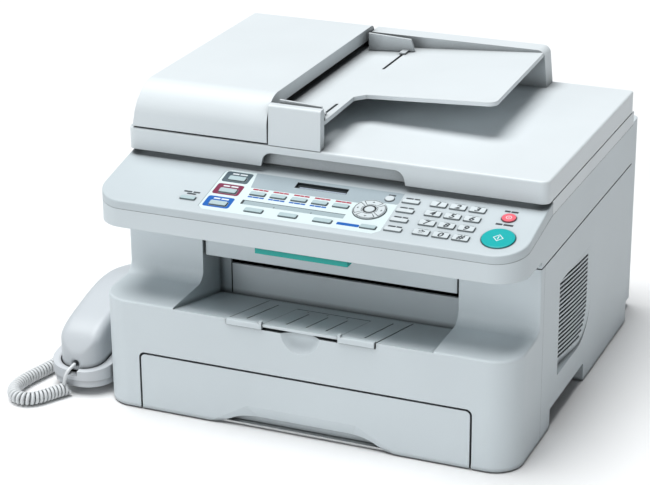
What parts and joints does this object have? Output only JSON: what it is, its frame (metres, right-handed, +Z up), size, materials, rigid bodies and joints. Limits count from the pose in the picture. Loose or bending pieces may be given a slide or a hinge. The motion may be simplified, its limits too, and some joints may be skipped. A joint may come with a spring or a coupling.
{
  "type": "fax machine",
  "caption": "Desktop laser fax machine with a document feeder, a scanner lid, a sloping control panel, a paper cassette and a corded handset in a side cradle.",
  "frame": {"origin": "middle of the machine body, on the plane that its feet stand on", "axes": "+X to the right as seen from the front, +Y to the back, +Z up; the front faces -Y"},
  "size_m": [0.5166, 0.4667, 0.302],
  "materials": {
    "cover_grey": "fine satin",
    "cover_white": "fine satin",
    "frame_steel": "zinc plated sheet",
    "inner_black": "plain",
    "shaft_steel": "ground",
    "roller_rubber": "ground rubber",
    "drum_coat": "coated",
    "screw_steel": "plated",
    "board": "varnished board",
    "glass": "clear",
    "display": "clear window over a grey-green display",
    "pad_white": "soft white pad",
    "lever_teal": "satin",
    "start_teal": "satin",
    "stop_red": "satin",
    "key_grey": "satin",
    "handset_white": "satin",
    "cord_white": "satin"
  },
  "bodies": {
    "base": {"base_frame": "frame_steel", "front_cover": "cover_grey", "left_cover": "cover_grey", "right_cover": "cover_grey", "rear_housing": "cover_grey", "screws": "screw_steel", "rubber_feet": "roller_rubber", "ac_inlet": "inner_black", "fuser_frame": "inner_black", "drum_cartridge": "inner_black", "laser_unit": "inner_black", "main_board": "board", "output_tray": "cover_grey", "handset_cradle": "handset_white", "cord_tail": "cord_white", "cord_coil": "cord_white"},
    "top_unit": {"scanner_base": "cover_grey", "panel_cover": "cover_white", "scanner_top": "cover_grey", "platen_glass": "glass", "lcd_window": "display"},
    "lid": {"lid_plate": "cover_white", "platen_pad": "pad_white", "adf_base": "cover_grey", "document_tray": "cover_white"},
    "rear_door": {"rear_door": "cover_grey"},
    "power_switch": {"power_switch": "inner_black"},
    "exit_roller": {"exit_roller": "roller_rubber"},
    "heat_roller": {"heat_roller": "shaft_steel"},
    "photo_drum": {"photo_drum": "drum_coat"},
    "pickup_roller": {"pickup_roller": "roller_rubber"},
    "fan_rotor": {"fan_rotor": "inner_black"},
    "paper_cassette": {"paper_cassette": "cover_grey"},
    "lift_plate": {"lift_plate": "frame_steel"},
    "left_paper_guide": {"left_paper_guide": "inner_black"},
    "right_paper_guide": {"right_paper_guide": "inner_black"},
    "tray_extension": {"tray_extension": "cover_grey"},
    "scan_carriage": {"scan_carriage": "inner_black"},
    "open_lever": {"open_lever": "lever_teal"},
    "key_1": {"key_1": "key_grey"},
    "key_2": {"key_2": "key_grey"},
    "key_3": {"key_3": "key_grey"},
    "key_4": {"key_4": "key_grey"},
    "key_5": {"key_5": "key_grey"},
    "key_6": {"key_6": "key_grey"},
    "key_7": {"key_7": "key_grey"},
    "key_8": {"key_8": "key_grey"},
    "key_9": {"key_9": "key_grey"},
    "key_0": {"key_0": "key_grey"},
    "key_star": {"key_star": "key_grey"},
    "key_hash": {"key_hash": "key_grey"},
    "start_key": {"start_key": "start_teal"},
    "stop_key": {"stop_key": "stop_red"},
    "function_keys": {"function_keys": "key_grey"},
    "adf_cover": {"adf_cover": "cover_white"},
    "front_document_guide": {"front_document_guide": "cover_white"},
    "rear_document_guide": {"rear_document_guide": "cover_white"},
    "feed_roller": {"feed_roller": "roller_rubber"},
    "hook_switch": {"hook_switch": "key_grey"},
    "handset": {"handset": "handset_white"}
  },
  "joints": [
    {"name": "top_unit_open", "type": "hinge", "parent": "base", "child": "top_unit", "pos_m": [0, 0.168, 0.217], "axis": [-1, 0, 0], "range_deg": [0, 30]},
    {"name": "lid_open", "type": "hinge", "parent": "top_unit", "child": "lid", "pos_m": [0, 0.166, 0.244], "axis": [-1, 0, 0], "range_deg": [0, 70]},
    {"name": "feeder_cover_open", "type": "hinge", "parent": "lid", "child": "adf_cover", "pos_m": [-0.2055, 0, 0.262], "axis": [0, -1, 0], "range_deg": [0, 75]},
    {"name": "feed_roller_spin", "type": "hinge", "parent": "lid", "child": "feed_roller", "pos_m": [-0.092, 0, 0.287], "axis": [0, 1, 0], "continuous": true},
    {"name": "front_guide_slide", "type": "slide", "parent": "lid", "child": "front_document_guide", "axis": [0, 1, 0], "range_m": [0, 0.03]},
    {"name": "rear_guide_slide", "type": "slide", "parent": "lid", "child": "rear_document_guide", "axis": [0, -1, 0], "range_m": [0, 0.03]},
    {"name": "carriage_slide", "type": "slide", "parent": "top_unit", "child": "scan_carriage", "axis": [1, 0, 0], "range_m": [0, 0.29]},
    {"name": "lever_pull", "type": "hinge", "parent": "top_unit", "child": "open_lever", "pos_m": [0, -0.187, 0.1826], "axis": [1, 0, 0], "range_deg": [0, 12], "stiffness_Nm_per_rad": 0.3},
    {"name": "rear_door_open", "type": "hinge", "parent": "base", "child": "rear_door", "pos_m": [0, 0.2088, 0.0564], "axis": [-1, 0, 0], "range_deg": [0, 70]},
    {"name": "cassette_slide", "type": "slide", "parent": "base", "child": "paper_cassette", "axis": [0, -1, 0], "range_m": [0, 0.3]},
    {"name": "lift_plate_tilt", "type": "hinge", "parent": "paper_cassette", "child": "lift_plate", "pos_m": [0, -0.1866, 0.0094], "axis": [1, 0, 0], "range_deg": [0, 6]},
    {"name": "left_paper_guide_slide", "type": "slide", "parent": "paper_cassette", "child": "left_paper_guide", "axis": [1, 0, 0], "range_m": [0, 0.03]},
    {"name": "right_paper_guide_slide", "type": "slide", "parent": "paper_cassette", "child": "right_paper_guide", "axis": [-1, 0, 0], "range_m": [0, 0.03]},
    {"name": "tray_extension_slide", "type": "slide", "parent": "base", "child": "tray_extension", "axis": [0, -0.9771, 0.2128], "range_m": [0, 0.07]},
    {"name": "exit_roller_spin", "type": "hinge", "parent": "base", "child": "exit_roller", "pos_m": [0, -0.089, 0.131], "axis": [1, 0, 0], "continuous": true},
    {"name": "heat_roller_spin", "type": "hinge", "parent": "base", "child": "heat_roller", "pos_m": [0, -0.056, 0.122], "axis": [1, 0, 0], "continuous": true},
    {"name": "drum_spin", "type": "hinge", "parent": "base", "child": "photo_drum", "pos_m": [0, 0.025, 0.112], "axis": [1, 0, 0], "continuous": true},
    {"name": "pickup_roller_spin", "type": "hinge", "parent": "base", "child": "pickup_roller", "pos_m": [0, 0.1, 0.061], "axis": [1, 0, 0], "continuous": true},
    {"name": "fan_spin", "type": "hinge", "parent": "base", "child": "fan_rotor", "pos_m": [0, -0.016, 0.086], "axis": [1, 0, 0], "continuous": true},
    {"name": "power_switch_rock", "type": "hinge", "parent": "base", "child": "power_switch", "pos_m": [0.178, 0.2073, 0.086], "axis": [1, 0, 0], "range_deg": [0, 8]},
    {"name": "hook_switch_press", "type": "slide", "parent": "base", "child": "hook_switch", "axis": [0, 0, -1], "range_m": [0, 0.004], "stiffness_N_per_m": 60},
    {"name": "handset_lift", "type": "slide", "parent": "base", "child": "handset", "axis": [0, 0, 1], "range_m": [0, 0.12]},
    {"name": "key_1_press", "type": "slide", "parent": "top_unit", "child": "key_1", "axis": [0, 0.2164, -0.9763], "range_m": [0, 0.001], "stiffness_N_per_m": 300},
    {"name": "key_2_press", "type": "slide", "parent": "top_unit", "child": "key_2", "axis": [0, 0.2164, -0.9763], "range_m": [0, 0.001], "stiffness_N_per_m": 300},
    {"name": "key_3_press", "type": "slide", "parent": "top_unit", "child": "key_3", "axis": [0, 0.2164, -0.9763], "range_m": [0, 0.001], "stiffness_N_per_m": 300},
    {"name": "key_4_press", "type": "slide", "parent": "top_unit", "child": "key_4", "axis": [0, 0.2164, -0.9763], "range_m": [0, 0.001], "stiffness_N_per_m": 300},
    {"name": "key_5_press", "type": "slide", "parent": "top_unit", "child": "key_5", "axis": [0, 0.2164, -0.9763], "range_m": [0, 0.001], "stiffness_N_per_m": 300},
    {"name": "key_6_press", "type": "slide", "parent": "top_unit", "child": "key_6", "axis": [0, 0.2164, -0.9763], "range_m": [0, 0.001], "stiffness_N_per_m": 300},
    {"name": "key_7_press", "type": "slide", "parent": "top_unit", "child": "key_7", "axis": [0, 0.2164, -0.9763], "range_m": [0, 0.001], "stiffness_N_per_m": 300},
    {"name": "key_8_press", "type": "slide", "parent": "top_unit", "child": "key_8", "axis": [0, 0.2164, -0.9763], "range_m": [0, 0.001], "stiffness_N_per_m": 300},
    {"name": "key_9_press", "type": "slide", "parent": "top_unit", "child": "key_9", "axis": [0, 0.2164, -0.9763], "range_m": [0, 0.001], "stiffness_N_per_m": 300},
    {"name": "key_0_press", "type": "slide", "parent": "top_unit", "child": "key_0", "axis": [0, 0.2164, -0.9763], "range_m": [0, 0.001], "stiffness_N_per_m": 300},
    {"name": "key_star_press", "type": "slide", "parent": "top_unit", "child": "key_star", "axis": [0, 0.2164, -0.9763], "range_m": [0, 0.001], "stiffness_N_per_m": 300},
    {"name": "key_hash_press", "type": "slide", "parent": "top_unit", "child": "key_hash", "axis": [0, 0.2164, -0.9763], "range_m": [0, 0.001], "stiffness_N_per_m": 300},
    {"name": "start_key_press", "type": "slide", "parent": "top_unit", "child": "start_key", "axis": [0, 0.2164, -0.9763], "range_m": [0, 0.001], "stiffness_N_per_m": 300},
    {"name": "stop_key_press", "type": "slide", "parent": "top_unit", "child": "stop_key", "axis": [0, 0.2164, -0.9763], "range_m": [0, 0.001], "stiffness_N_per_m": 300},
    {"name": "function_keys_press", "type": "slide", "parent": "top_unit", "child": "function_keys", "axis": [0, 0.2164, -0.9763], "range_m": [0, 0.001], "stiffness_N_per_m": 300}
  ],
  "couplings": [
    {"joint": "rear_guide_slide", "follows": "front_guide_slide", "ratio": 1},
    {"joint": "right_paper_guide_slide", "follows": "left_paper_guide_slide", "ratio": 1},
    {"joint": "exit_roller_spin", "follows": "heat_roller_spin", "ratio": 1.4375}
  ]
}
